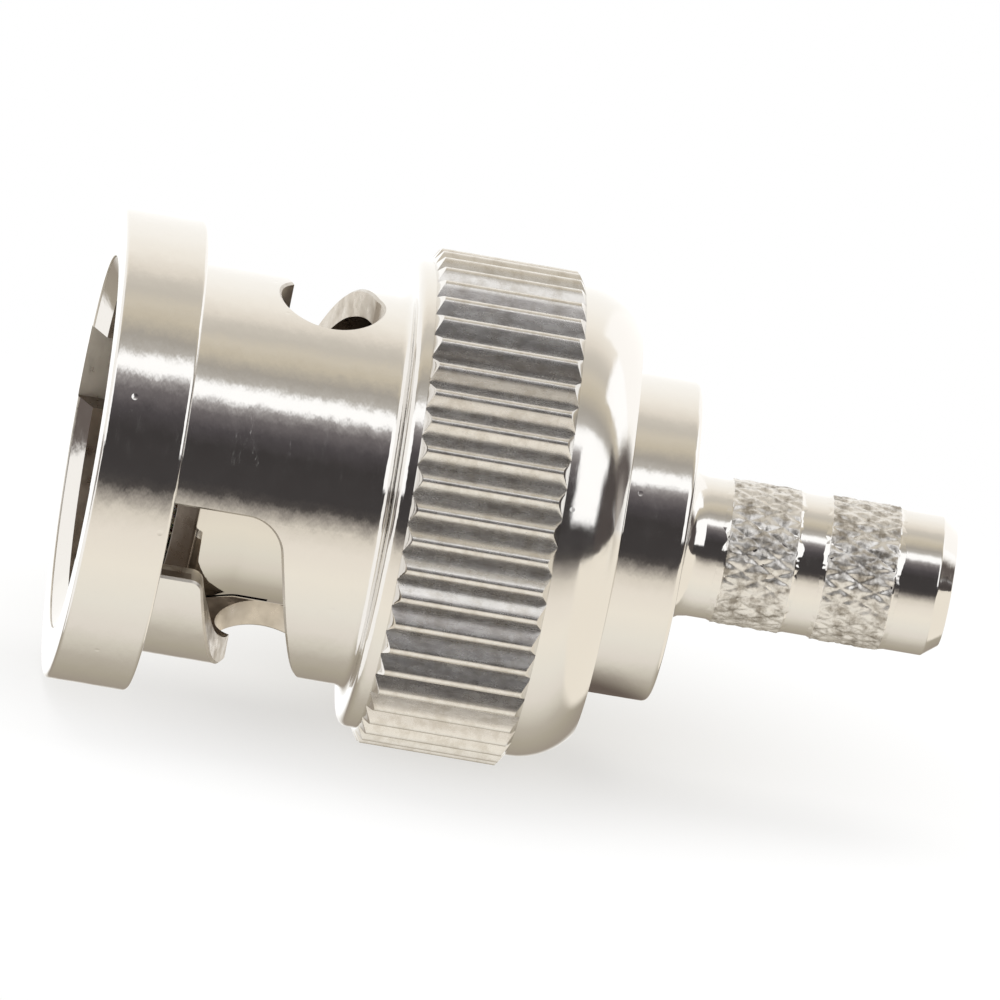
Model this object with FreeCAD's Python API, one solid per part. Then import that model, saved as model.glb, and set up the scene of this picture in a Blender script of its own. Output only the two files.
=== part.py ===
import FreeCAD, Part
import math
import os

# A male BNC crimp plug for thin coaxial cable, in millimetres.
# It stands on the front face of its coupling nut: z = 0 is that face, +Z runs along the axis
# to the cable end, and the free, unmated state is modelled.

Vector = FreeCAD.Vector
AXIS = Vector(0, 0, 1)
ORIGIN = Vector(0, 0, 0)
SAME_POINT = 1e-6

# Coupling nut, outside, from the front face to the rear
nut_len = 15.3
flange_d = 13.8
flange_len = 2.4
edge_break = 0.15
neck_d = 11.4
neck_end_z = 8.6
collar_d = 13.7
collar_len = 0.5
knurl_d = 14.5
knurl_len = 4.37
knurl_chamfer = 0.2
knurl_end_d = 13.9
flute_count = 51
flute_depth = 0.35
flute_land = 0.08
flute_phase_deg = 276.2
flute_reach = 0.35
dome_d = 13.8
dome_lead = 0.13
dome_r = 2.15

# Coupling nut, inside
mouth_d = 10.9
mouth_depth = 0.44
nut_wall = 1.0

# Bayonet slots: two alike, half a turn apart
slot_count = 2
slot_w = 2.3
slot_phase_deg = -64.5
slot_turn_deg = 88.0
slot_entry_z = 4.65
slot_rise = 1.9
slot_corner_r = 0.4
groove_floor_d = 11.2
lock_hole_d = 3.0
lock_back = 0.3
ramp_steps = 10

# Outer contact: fingers, seat flange and neck in one piece
tip_z = 2.75
contact_len = 8.4
finger_od = 7.4
finger_id = 6.84
bump_d = 8.04
bump_lead = 0.6
bump_land = 0.25
bump_taper = 1.35
tip_wall = 0.14
finger_slot_w = 0.35
finger_slot_len = 3.2
finger_slot_phase_deg = -10.0
finger_count = 4
root_od = 7.7
root_len = 1.6
seat_t = 1.2
seat_gap = 0.1
contact_neck_d = 7.7
nut_run_gap = 0.07

# Spring stack between the seat flange and the nut's rear wall, in the room round the neck
spring_room = 1.05
washer_t = 0.3
washer_gap = 0.1
washer_rim_gap = 0.15
wave_t = 0.22
wave_count = 3
wave_steps = 12
face_gap = 0.02
wave_gap = 0.05

# Rear body and crimp stem in one piece
body_gap = 0.1
body_d = 9.4
body_len = 1.95
body_edge_break = 0.2
socket_floor = 0.7
socket_gap = 0.02
stem_d = 4.1
stem_len = 8.05
stem_root = 0.3
stem_chamfer_len = 0.45
stem_end_d = 3.4
cable_bore_d = 3.04
bore_lead = 0.15
band_count = 2
band_d = 4.24
band_len = 2.0
band_edge = 0.08
band_offset = 1.4
band_pitch = 2.93

# Centre contact
pin_d = 1.35
pin_set_back = 0.6
pin_nose_len = 0.7
pin_nose_d = 0.5
collar_w = 0.6
pin_collar_d = 2.5
barrel_d = 2.1
barrel_bore_d = 1.0
barrel_bore_len = 2.6
sight_hole_d = 0.5
sight_hole_back = 1.9

# Insulators
nose_set_back = 2.2
nose_len = 4.7
nose_d = 4.7
nose_bore_d = 2.3
nose_bore_len = 4.0
insulator_joint_z = 14.3
pin_gap = 0.02
insulator_gap = 0.02

# Seal
gasket_t = 0.55
gasket_gap = 0.06

# Sizes and places that follow from the sizes above
nut_bore_d = contact_neck_d + 2 * spring_room
knurl_start_z = neck_end_z + collar_len
seat_z = tip_z + contact_len
seat_back_z = seat_z + seat_t
nut_wall_z = nut_len - nut_wall
body_z = nut_len + body_gap
body_back_z = body_z + body_len
socket_floor_z = body_back_z - socket_floor
stem_end_z = body_back_z + stem_len
neck_end_inner_z = socket_floor_z - face_gap
pin_tip_z = tip_z + pin_set_back
nose_z = tip_z + nose_set_back
pin_back_z = neck_end_inner_z - face_gap
seat_d = nut_bore_d - 2 * seat_gap
nut_rear_bore_d = contact_neck_d + 2 * nut_run_gap
washer_id = contact_neck_d + 2 * washer_gap
washer_od = nut_bore_d - 2 * washer_rim_gap
front_washer_z = seat_back_z + face_gap
rear_washer_z = nut_wall_z - face_gap - washer_t
insulator_d = finger_id - 2 * insulator_gap

# The slot tools run between these radii, and the ramp climbs at this slope on the neck
slot_tool_in_r = (finger_od + nut_bore_d) / 4
slot_tool_out_r = (neck_d + flange_d) / 4
slot_reach = slot_tool_out_r - slot_tool_in_r
ramp_slope = slot_rise / (math.radians(slot_turn_deg) * neck_d / 2)
ramp_half = slot_w / 2 * math.hypot(1, ramp_slope)


def point(radius, z):
    return Vector(radius, 0, z)


def polar(radius, angle_deg, z):
    angle = math.radians(angle_deg)
    return Vector(radius * math.cos(angle), radius * math.sin(angle), z)


def turned(outline):
    """Revolve a closed (radius, z) outline; an item of three points is an arc."""
    edges = []
    last = outline[-1][-1] if isinstance(outline[-1], list) else outline[-1]
    for item in outline:
        arc = item if isinstance(item, list) else None
        start = arc[0] if arc else item
        if point(*last).distanceToPoint(point(*start)) > SAME_POINT:
            edges.append(Part.makeLine(point(*last), point(*start)))
        if arc:
            edges.append(Part.Arc(*[point(*place) for place in arc]).toShape())
        last = arc[-1] if arc else item
    return Part.Face(Part.Wire(edges)).revolve(ORIGIN, AXIS, 360)


def tube(outer_d, inner_d, z_low, z_high):
    """A plain ring or sleeve."""
    return turned([
        (inner_d / 2, z_low),
        (outer_d / 2, z_low),
        (outer_d / 2, z_high),
        (inner_d / 2, z_high),
    ])


def quarter(centre, radius, start_deg, end_deg):
    """Three points of an arc about centre, in the (radius, z) plane."""
    middle_deg = (start_deg + end_deg) / 2
    return [
        (
            centre[0] + radius * math.cos(math.radians(angle)),
            centre[1] + radius * math.sin(math.radians(angle)),
        )
        for angle in (start_deg, middle_deg, end_deg)
    ]


def dome_arc():
    """The rear shoulder curves in from the dome diameter to the nut's rear face."""
    start_z = knurl_start_z + knurl_len + dome_lead
    centre = (dome_d / 2 - dome_r, start_z)
    end_deg = math.degrees(math.asin((nut_len - start_z) / dome_r))
    return quarter(centre, dome_r, 0, end_deg)


def nut_blank():
    """The nut as it is turned, without its fluted band and its slots."""
    knurl_end_z = knurl_start_z + knurl_len
    core_r = collar_d / 2 - edge_break
    return turned([
        (mouth_d / 2, 0),
        (flange_d / 2 - edge_break, 0),
        (flange_d / 2, edge_break),
        (flange_d / 2, flange_len - edge_break),
        (flange_d / 2 - edge_break, flange_len),
        (neck_d / 2, flange_len),
        (neck_d / 2, neck_end_z),
        (collar_d / 2 - edge_break, neck_end_z),
        (collar_d / 2, neck_end_z + edge_break),
        (collar_d / 2, knurl_start_z),
        (core_r, knurl_start_z),
        (core_r, knurl_end_z),
        (dome_d / 2, knurl_end_z),
        dome_arc(),
        (nut_rear_bore_d / 2, nut_len),
        (nut_rear_bore_d / 2, nut_wall_z),
        (nut_bore_d / 2, nut_wall_z),
        (nut_bore_d / 2, mouth_depth),
    ])


def flute_cutter(angle_deg):
    """One V groove along the grip, leaving a narrow land on each crest."""
    crest = knurl_d / 2
    pitch = 2 * math.pi * crest / flute_count
    slope = (pitch - flute_land) / 2 / flute_depth
    tool_r = crest + flute_reach
    valley = crest - flute_depth
    half = slope * (tool_r - valley)
    corners = [
        Vector(valley, 0, 0),
        Vector(tool_r, half, 0),
        Vector(tool_r, -half, 0),
    ]
    wedge = Part.Face(Part.makePolygon(corners + corners[:1])).extrude(AXIS * knurl_len)
    wedge.translate(Vector(0, 0, knurl_start_z))
    wedge.rotate(ORIGIN, AXIS, angle_deg)
    return wedge


def grip_ring(across_flats, z):
    """A closed outline with one flat for each crest of the grip."""
    corner_r = across_flats / 2 / math.cos(math.pi / flute_count)
    pitch_deg = 360 / flute_count
    corners = [polar(corner_r, flute_phase_deg + index * pitch_deg, z) for index in range(flute_count)]
    return Part.makePolygon(corners + corners[:1])


def grip_band():
    """The fluted band: a many-sided ring with tapered ends and a V groove at each corner."""
    knurl_end_z = knurl_start_z + knurl_len
    band = Part.makeLoft([
        grip_ring(knurl_end_d, knurl_start_z),
        grip_ring(knurl_d, knurl_start_z + knurl_chamfer),
        grip_ring(knurl_d, knurl_end_z - knurl_chamfer),
        grip_ring(knurl_end_d, knurl_end_z),
    ], True, True)
    flutes = []
    for index in range(flute_count):
        flutes.append(flute_cutter(flute_phase_deg + index * 360 / flute_count))
    core = Part.makeCylinder(nut_bore_d / 2 + nut_wall, knurl_len, AXIS * knurl_start_z)
    return band.cut(flutes).cut(core)


def ramp_curve(radius, shift):
    """A helical edge of the ramp: shift moves it along the axis from the ramp's middle line."""
    points = []
    for step in range(ramp_steps + 1):
        share = step / ramp_steps
        points.append(polar(radius, slot_turn_deg * share, slot_entry_z + slot_rise * share + shift))
    curve = Part.BSplineCurve()
    curve.interpolate(points)
    return curve.toShape()


def sewn_solid(faces):
    """Sew faces that meet edge to edge into one solid."""
    shell = Part.makeShell(faces)
    shell.sewShape()
    solid = Part.makeSolid(Part.Shell(shell.Faces))
    if solid.Volume < 0:
        solid.reverse()
    return solid


def ramp_end(share):
    """The flat face that closes the ramp tool at a share of its turn."""
    angle = slot_turn_deg * share
    z = slot_entry_z + slot_rise * share
    corners = [
        polar(slot_tool_in_r, angle, z - ramp_half),
        polar(slot_tool_out_r, angle, z - ramp_half),
        polar(slot_tool_out_r, angle, z + ramp_half),
        polar(slot_tool_in_r, angle, z + ramp_half),
    ]
    return Part.Face(Part.makePolygon(corners + corners[:1]))


def ramp_cutter():
    """The helical part of a slot, with walls that point at the axis."""
    front_in = ramp_curve(slot_tool_in_r, -ramp_half)
    front_out = ramp_curve(slot_tool_out_r, -ramp_half)
    rear_in = ramp_curve(slot_tool_in_r, ramp_half)
    rear_out = ramp_curve(slot_tool_out_r, ramp_half)
    return sewn_solid([
        Part.makeRuledSurface(front_in, front_out),
        Part.makeRuledSurface(rear_in, rear_out),
        Part.makeRuledSurface(front_in, rear_in),
        Part.makeRuledSurface(front_out, rear_out),
        ramp_end(0),
        ramp_end(1),
    ])


def slot_cutters(phase_deg):
    """One bayonet slot: groove in the flange, straight entry, ramp and round lock hole."""
    radial = Vector(1, 0, 0)
    groove_corner = Vector(slot_tool_in_r, -slot_w / 2, 0)
    groove = Part.makeBox(slot_reach, slot_w, flange_len, groove_corner)
    groove = groove.common(Part.makeCylinder(groove_floor_d / 2, flange_len))
    entry_corner = Vector(slot_tool_in_r, -slot_w / 2, flange_len)
    entry = Part.makeBox(slot_reach, slot_w, slot_entry_z - flange_len, entry_corner)
    entry_start = Vector(slot_tool_in_r, 0, slot_entry_z)
    entry_end = Part.makeCylinder(slot_w / 2, slot_reach, entry_start, radial)
    lock_start = polar(slot_tool_in_r, slot_turn_deg, slot_entry_z + slot_rise - lock_back)
    lock_hole = Part.makeCylinder(lock_hole_d / 2, slot_reach, lock_start, polar(1, slot_turn_deg, 0))
    cutters = [groove, entry, entry_end, ramp_cutter(), lock_hole]
    for cutter in cutters:
        cutter.rotate(ORIGIN, AXIS, phase_deg)
    return cutters


def slot_corner_edge(nut, phase_deg):
    """The edge of a slot's inner corner, where the entry meets the front side of the ramp."""
    mean_r = (nut_bore_d + neck_d) / 4
    half_deg = math.degrees(math.asin(slot_w / 2 / mean_r))
    corner_z = slot_entry_z + slot_rise * half_deg / slot_turn_deg - ramp_half
    corner = Part.Vertex(polar(mean_r, phase_deg + half_deg, corner_z))
    return min(nut.Edges, key=lambda edge: edge.distToShape(corner)[0])


def coupling_nut():
    """The bayonet nut: a fluted grip, two slots and an open bore."""
    phases = [slot_phase_deg + index * 360 / slot_count for index in range(slot_count)]
    nut = nut_blank().fuse(grip_band())
    for phase in phases:
        for cutter in slot_cutters(phase):
            nut = nut.cut(cutter)
    nut = nut.Solids[0]
    corners = [slot_corner_edge(nut, phase) for phase in phases]
    return nut.makeFillet(slot_corner_r, corners)


def outer_contact():
    """Sprung fingers with a contact bump, a seat flange and the neck that carries the nut."""
    root_z = seat_z - root_len
    bump_z = tip_z + bump_lead
    taper_z = bump_z + bump_land
    blank = turned([
        (finger_id / 2, tip_z),
        (finger_id / 2 + tip_wall, tip_z),
        (bump_d / 2, bump_z),
        (bump_d / 2, taper_z),
        (finger_od / 2, taper_z + bump_taper),
        (finger_od / 2, root_z),
        (root_od / 2, root_z),
        (root_od / 2, seat_z),
        (seat_d / 2, seat_z),
        (seat_d / 2, seat_back_z),
        (contact_neck_d / 2, seat_back_z),
        (contact_neck_d / 2, neck_end_inner_z),
        (finger_id / 2, neck_end_inner_z),
    ])
    slots = []
    for index in range(finger_count):
        slot = Part.makeBox(bump_d, finger_slot_w, finger_slot_len)
        slot.translate(Vector(0, -finger_slot_w / 2, tip_z))
        slot.rotate(ORIGIN, AXIS, finger_slot_phase_deg + index * 360 / finger_count)
        slots.append(slot)
    return blank.cut(slots)


def front_insulator():
    """Holds the centre contact and carries the nose that enters the mating socket."""
    bore = pin_d / 2 + pin_gap
    back_z = insulator_joint_z
    pocket_z = back_z - collar_w - face_gap
    return turned([
        (nose_bore_d / 2, nose_z),
        (nose_d / 2, nose_z),
        (nose_d / 2, nose_z + nose_len),
        (insulator_d / 2, nose_z + nose_len),
        (insulator_d / 2, back_z),
        (pin_collar_d / 2 + pin_gap, back_z),
        (pin_collar_d / 2 + pin_gap, pocket_z),
        (bore, pocket_z),
        (bore, nose_z + nose_bore_len),
        (nose_bore_d / 2, nose_z + nose_bore_len),
    ])


def rear_insulator():
    """The bush behind the contact's collar, round its crimp barrel."""
    return tube(insulator_d, barrel_d + 2 * pin_gap, insulator_joint_z + face_gap, pin_back_z)


def centre_pin():
    """Centre contact: rounded nose, captive collar, crimp barrel and its sight hole."""
    collar_z = insulator_joint_z - collar_w
    bore_z = pin_back_z - barrel_bore_len
    blank = turned([
        (0, pin_tip_z),
        (pin_nose_d / 2, pin_tip_z),
        (pin_d / 2, pin_tip_z + pin_nose_len),
        (pin_d / 2, collar_z),
        (pin_collar_d / 2, collar_z),
        (pin_collar_d / 2, collar_z + collar_w),
        (barrel_d / 2, collar_z + collar_w),
        (barrel_d / 2, pin_back_z),
        (barrel_bore_d / 2, pin_back_z),
        (barrel_bore_d / 2, bore_z),
        (0, bore_z),
    ])
    sight = Part.makeCylinder(
        sight_hole_d / 2, barrel_d, Vector(0, 0, pin_back_z - sight_hole_back), Vector(1, 0, 0)
    )
    return blank.cut(sight)


def rear_body():
    """The press-on rear body with its crimp stem and two raised bands."""
    body_r = body_d / 2
    stem_r = stem_d / 2
    chamfer_z = stem_end_z - stem_chamfer_len
    socket_r = contact_neck_d / 2 + socket_gap
    outline = [
        (body_r, body_z),
        (body_r, body_back_z - body_edge_break),
        (body_r - body_edge_break, body_back_z),
        (stem_r + stem_root, body_back_z),
        (stem_r, body_back_z + stem_root),
    ]
    for index in range(band_count):
        band_z = body_back_z + band_offset + index * band_pitch
        outline += [
            (stem_r, band_z),
            (band_d / 2, band_z + band_edge),
            (band_d / 2, band_z + band_len - band_edge),
            (stem_r, band_z + band_len),
        ]
    outline += [
        (stem_r, chamfer_z),
        (stem_end_d / 2, stem_end_z),
        (cable_bore_d / 2 + bore_lead / 2, stem_end_z),
        (cable_bore_d / 2, stem_end_z - bore_lead),
        (cable_bore_d / 2, socket_floor_z),
        (socket_r, socket_floor_z),
        (socket_r, body_z),
    ]
    return turned(outline)


def gasket():
    """The seal that the mating socket presses against the seat flange."""
    inner_d = root_od + 2 * gasket_gap
    return tube(seat_d - 2 * edge_break, inner_d, seat_z - gasket_t, seat_z)


def flat_washer(z):
    return tube(washer_od, washer_id, z, z + washer_t)


def wave_curve(radius, mean_z, height):
    """A closed edge that rises and falls wave_count times round the axis."""
    steps = wave_count * wave_steps
    points = []
    for step in range(steps):
        angle = 360 * step / steps
        lift = height / 2 * math.cos(math.radians(angle * wave_count))
        points.append(polar(radius, angle, mean_z + lift))
    curve = Part.BSplineCurve()
    curve.interpolate(Points=points, PeriodicFlag=True)
    return curve.toShape()


def wave_washer():
    """The sprung washer that draws a mated socket against the seal."""
    low_z = front_washer_z + washer_t + wave_gap
    high_z = rear_washer_z - wave_gap
    height = high_z - low_z - wave_t
    low_mean = (low_z + high_z - wave_t) / 2
    rings = []
    for diameter in (washer_id, washer_od):
        rings.append(wave_curve(diameter / 2, low_mean, height))
        rings.append(wave_curve(diameter / 2, low_mean + wave_t, height))
    inner_low, inner_high, outer_low, outer_high = rings
    return sewn_solid([
        Part.makeRuledSurface(inner_low, inner_high),
        Part.makeRuledSurface(outer_low, outer_high),
        Part.makeRuledSurface(inner_low, outer_low),
        Part.makeRuledSurface(inner_high, outer_high),
    ])


def main():
    pieces = {
        "coupling_nut": coupling_nut(),
        "outer_contact": outer_contact(),
        "front_insulator": front_insulator(),
        "rear_insulator": rear_insulator(),
        "centre_pin": centre_pin(),
        "rear_body": rear_body(),
        "gasket": gasket(),
        "front_washer": flat_washer(front_washer_z),
        "wave_washer": wave_washer(),
        "rear_washer": flat_washer(rear_washer_z),
    }
    os.makedirs("parts", exist_ok=True)
    for name, shape in pieces.items():
        shape.exportStep(f"parts/{name}.step")
        box = shape.BoundBox
        print(name, shape.isValid(), len(shape.Solids), round(shape.Volume, 4),
              round(box.ZMin, 3), round(box.ZMax, 3), round(box.XMax, 3))


main()
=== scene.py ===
import math

import bmesh
import bpy
from bpy.props import FloatProperty, FloatVectorProperty, IntProperty, PointerProperty
from bpy.types import Operator, Panel, PropertyGroup
from mathutils import Matrix, Vector, noise


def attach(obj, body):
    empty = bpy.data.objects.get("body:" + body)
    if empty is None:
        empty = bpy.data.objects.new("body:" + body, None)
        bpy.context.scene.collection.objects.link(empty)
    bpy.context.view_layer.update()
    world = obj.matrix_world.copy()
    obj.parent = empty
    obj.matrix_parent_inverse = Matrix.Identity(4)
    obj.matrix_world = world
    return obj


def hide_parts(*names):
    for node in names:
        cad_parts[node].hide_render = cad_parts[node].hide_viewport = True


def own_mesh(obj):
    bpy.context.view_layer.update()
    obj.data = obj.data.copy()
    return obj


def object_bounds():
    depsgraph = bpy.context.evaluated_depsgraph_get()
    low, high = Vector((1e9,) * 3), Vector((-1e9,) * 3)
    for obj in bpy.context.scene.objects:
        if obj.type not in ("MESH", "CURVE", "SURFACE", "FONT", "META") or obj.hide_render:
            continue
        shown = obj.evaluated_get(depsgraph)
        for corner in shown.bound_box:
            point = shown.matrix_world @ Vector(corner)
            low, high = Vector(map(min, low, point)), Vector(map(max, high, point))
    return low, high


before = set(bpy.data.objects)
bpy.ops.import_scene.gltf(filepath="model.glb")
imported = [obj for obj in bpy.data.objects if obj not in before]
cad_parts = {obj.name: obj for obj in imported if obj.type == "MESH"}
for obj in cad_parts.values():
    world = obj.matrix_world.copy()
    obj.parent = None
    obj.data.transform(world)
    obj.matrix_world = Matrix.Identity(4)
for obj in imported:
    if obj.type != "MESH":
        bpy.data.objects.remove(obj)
cad_low, cad_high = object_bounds()

bl_info = {
    "name": "Bayonet coaxial plug",
    "version": (1, 0, 0),
    "blender": (4, 5, 0),
    "location": "3D View > Sidebar > Plug",
    "description": "Builds the looks of a bayonet crimp plug round its packed solids",
    "category": "Object",
}

# The plug's axis is +Z, its front face is z = 0, and -X is up in the photograph.
MM = 0.001
UP = Vector((-1, 0, 0))
TOWARD_CAMERA = Vector((0, -1, 0))
AXIS = Vector((0, 0, 1))
SHARP_ANGLE = math.radians(35)

# The faces across a rounded edge, and the short flat beside it that keeps its shading off the next face
EDGE_STEPS = 4
HOLD = 0.02 * MM

# The small room that keeps one surface from lying in another, or a face from counting on the wrong side
CLEAR = 0.01 * MM


def length(name, millimetres, description):
    """A size that a user may change, kept in metres."""
    return FloatProperty(
        name=name, description=description, default=millimetres * MM, min=0.0, precision=5, unit="LENGTH"
    )


def angle(name, degrees, description):
    """An angle that a user may change, kept in radians."""
    return FloatProperty(
        name=name, description=description, default=math.radians(degrees), subtype="ANGLE", unit="ROTATION"
    )


def linear(hex_colour):
    """An sRGB hex colour as linear red, green and blue."""
    channels = []
    for start in (0, 2, 4):
        value = int(hex_colour[start:start + 2], 16) / 255
        channels.append(value / 12.92 if value <= 0.04045 else ((value + 0.055) / 1.055) ** 2.4)
    return tuple(channels)


def colour(name, hex_colour, description):
    """A colour that a user may change, given as sRGB hex."""
    return FloatVectorProperty(
        name=name, description=description, default=linear(hex_colour), subtype="COLOR", min=0.0, max=1.0
    )


class NutSizes(PropertyGroup):
    nut_length: length("Length", 15.3, "Front face to rear face")
    flange_diameter: length("Flange", 13.8, "Across the front flange")
    flange_length: length("Flange length", 2.4, "Along the axis")
    neck_diameter: length("Neck", 11.4, "Across the slotted neck")
    neck_end: length("Neck end", 8.6, "Where the neck meets the collar")
    neck_root: length("Neck root", 0.3, "Radius where the neck meets the collar")
    collar_diameter: length("Collar", 13.7, "Across the collar ahead of the grip")
    collar_round: length("Collar round", 0.28, "Radius on the collar's front edge")
    edge_round: length("Edge round", 0.12, "Radius on the turned edges")
    grip_diameter: length("Grip", 14.5, "Across the crests of the grip")
    grip_end_diameter: length("Grip ends", 13.9, "Across the ends of the grip's tapers")
    grip_start: length("Grip start", 9.1, "Where the flutes begin")
    grip_length: length("Grip length", 4.37, "Along the flutes")
    grip_taper: length("Grip taper", 0.2, "Length of the taper at each end of the flutes")
    flute_count: IntProperty(name="Flutes", description="V grooves round the grip", default=51, min=3)
    flute_depth: length("Flute depth", 0.35, "Crest to valley")
    flute_phase: angle("Flute phase", 276.2, "Where the first valley lies round the axis")
    dome_diameter: length("Dome", 13.8, "Across the shoulder behind the grip")
    dome_lead: length("Dome lead", 0.13, "Straight stretch before the dome")
    dome_radius: length("Dome radius", 2.15, "Radius of the shoulder's curve")
    bore_diameter: length("Bore", 9.8, "Inside the nut")
    mouth_diameter: length("Mouth", 10.9, "Lead-in at the front face")
    mouth_depth: length("Mouth depth", 0.44, "Depth of the lead-in")
    wall: length("Rear wall", 1.0, "The wall that the spring pushes")
    rear_bore: length("Rear bore", 7.84, "The hole that runs on the neck")


class SlotSizes(PropertyGroup):
    count: IntProperty(name="Slots", description="Bayonet slots round the nut", default=2, min=1)
    width: length("Width", 2.3, "Width of the slot")
    phase: angle("Phase", -64.5, "Where the first slot's entry lies round the axis")
    turn: angle("Turn", 88.0, "From the entry to the lock hole")
    entry_end: length("Entry end", 4.65, "Where the straight entry meets the ramp")
    rise: length("Rise", 1.9, "How far the ramp climbs")
    corner_round: length("Corner", 0.4, "Radius of the inner corner")
    groove_diameter: length("Groove", 11.2, "Across the groove inside the flange")
    lock_diameter: length("Lock hole", 3.0, "The round hole at the slot's end")
    lock_back: length("Lock offset", 0.3, "How far the hole sits ahead of the ramp's line")
    edge_break: length("Edge break", 0.07, "Chamfer along the slot's outer edge")


class BodySizes(PropertyGroup):
    body_start: length("Front", 15.4, "Front of the rear body")
    body_length: length("Body length", 1.95, "Along the axis")
    body_diameter: length("Body", 9.4, "Across the rear body")
    edge_round: length("Edge round", 0.18, "Radius on the body's rear edge")
    stem_length: length("Stem length", 8.05, "Rear body to stem end")
    stem_diameter: length("Stem", 4.1, "Across the crimp stem")
    root_round: length("Root", 0.7, "Radius where the stem leaves the body")
    end_chamfer: length("End chamfer", 0.45, "Length of the stem's end chamfer")
    end_diameter: length("End", 3.4, "Across the stem's end")
    cable_bore: length("Cable bore", 3.04, "Bore for the cable's core")
    bore_lead: length("Bore lead", 0.15, "Lead-in of the cable bore")
    socket_floor: length("Socket floor", 0.7, "Thickness behind the pressed-on socket")
    socket_diameter: length("Socket", 7.74, "Bore over the contact's neck")
    band_count: IntProperty(name="Bands", description="Knurled bands on the stem", default=2, min=0)
    band_diameter: length("Band", 4.24, "Across the crests of the knurled bands")
    band_length: length("Band length", 2.0, "Along each band")
    band_offset: length("Band offset", 1.4, "Rear body to the first band")
    band_pitch: length("Band pitch", 2.93, "From band to band")
    knurl_depth: length("Knurl depth", 0.1, "Crest to valley of the diamonds")
    knurl_skirt: length("Knurl skirt", 0.24, "Reach of the plate that pools at a band's ends")
    knurl_around: IntProperty(name="Diamonds", description="Diamonds round a band", default=26, min=8)
    knurl_rows: IntProperty(name="Rows", description="Diamonds along a band", default=4, min=1)


class ContactSizes(PropertyGroup):
    tip: length("Tip", 2.75, "Where the fingers begin")
    seat: length("Seat", 11.15, "Front of the seat flange")
    seat_thickness: length("Seat thickness", 1.2, "Along the axis")
    seat_diameter: length("Seat diameter", 9.6, "Across the seat flange")
    finger_outer: length("Fingers", 7.4, "Across the fingers")
    finger_inner: length("Finger bore", 6.84, "Inside the fingers")
    bump_diameter: length("Bump", 8.04, "Across the contact bump")
    bump_start: length("Bump start", 0.6, "Tip to the bump's crest")
    bump_land: length("Bump land", 0.25, "Length of the crest")
    bump_taper: length("Bump taper", 1.35, "Length of the slope behind the crest")
    tip_wall: length("Tip wall", 0.14, "Wall at the fingers' tips")
    slot_width: length("Saw cut", 0.35, "Width of the cuts between the fingers")
    slot_length: length("Cut length", 3.2, "Length of the cuts")
    slot_phase: angle("Cut phase", -10.0, "Where the first cut lies round the axis")
    finger_count: IntProperty(name="Cuts", description="Saw cuts round the sleeve", default=4, min=1)
    root_diameter: length("Root", 7.7, "Across the sleeve ahead of the seat")
    root_length: length("Root length", 1.6, "Along the axis")
    neck_diameter: length("Neck", 7.7, "Across the neck that carries the nut")
    neck_end: length("Neck end", 16.63, "Rear end of the neck")


class WasherSizes(PropertyGroup):
    start: length("Front", 12.72, "Front of the wave washer")
    height: length("Height", 1.21, "Free height of the wave washer")
    thickness: length("Thickness", 0.22, "Thickness of its strip")
    inner_diameter: length("Hole", 7.9, "Across the wave washer's hole")
    outer_diameter: length("Washer", 9.5, "Across the wave washer")
    travel: length("Travel", 0.8, "How far the nut's pull presses the wave washer")
    wave_count: IntProperty(name="Waves", description="Waves round the washer", default=3, min=2)


class Finishes(PropertyGroup):
    nickel: colour("Nickel", "e6e4e1", "Bright nickel plate")
    flute_stain: colour("Flute stain", "d6d2cc", "Greyer plate in places on the flutes")
    knurl_stain: colour("Knurl stain", "9c968e", "Grey-brown blotches on the knurled bands")
    groove_nickel: colour("Groove nickel", "c9c4bc", "Satin nickel in the lug grooves")
    # The bore's darker colour is painted shade of the recess.
    bore_painted_shade_nickel: colour("Bore nickel", "988c80", "Dull nickel in the bore, darkened as painted shade")
    wall_nickel: colour("Wall nickel", "cfc7bb", "Matt nickel on the milled walls of the slots")
    contact_nickel: colour("Contact nickel", "dedbd5", "Bright nickel on the contact sleeve")
    # The tips' darker colour is painted shade on the slopes inside the nut.
    tip_painted_shade_nickel: colour("Tip nickel", "6f665d", "Dull nickel on the slopes of the finger tips, darkened as painted shade")
    gold: colour("Gold", "e2b866", "Gold plate on the centre contact")
    insulator: colour("Insulator", "f1f0ec", "Smooth white fluoropolymer")
    seal: colour("Seal", "9c3b2c", "Moulded silicone")
    spring: colour("Spring", "c4c2bd", "Bright rolled spring strip")


class StudioSettings(PropertyGroup):
    camera_roll: angle("Roll", 9.64, "Roll of the camera about its own line of sight")
    camera_yaw: angle("Yaw", 4.7, "How far the camera stands towards the front end")
    camera_distance: length("Distance", 1300.0, "Camera to the plug")
    camera_right: length("Right", 11.875, "Camera offset to the right")
    camera_down: length("Down", 1.661, "Camera offset downwards")
    lens: FloatProperty(name="Lens", description="Focal length in mm on a 36 mm sensor", default=1619.3)
    floor_tilt: angle("Floor tilt", 12.0, "How far the floor faces the camera")
    floor_drop: length("Floor drop", 7.3, "Axis to the floor under the grip")


# Mesh helpers

def new_object(name, data):
    """An object in the scene that shows the data."""
    item = bpy.data.objects.new(name, data)
    bpy.context.scene.collection.objects.link(item)
    return item


def mesh_object(name, vertices, faces, smooth=True):
    mesh = bpy.data.meshes.new(name)
    mesh.from_pydata([tuple(vertex) for vertex in vertices], [], faces)
    mesh.validate()
    if smooth:
        mesh.shade_smooth()
        mesh.set_sharp_from_angle(angle=SHARP_ANGLE)
    return new_object(name, mesh)


def polar(radius, turn, z):
    return Vector((radius * math.cos(turn), radius * math.sin(turn), z))


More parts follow.
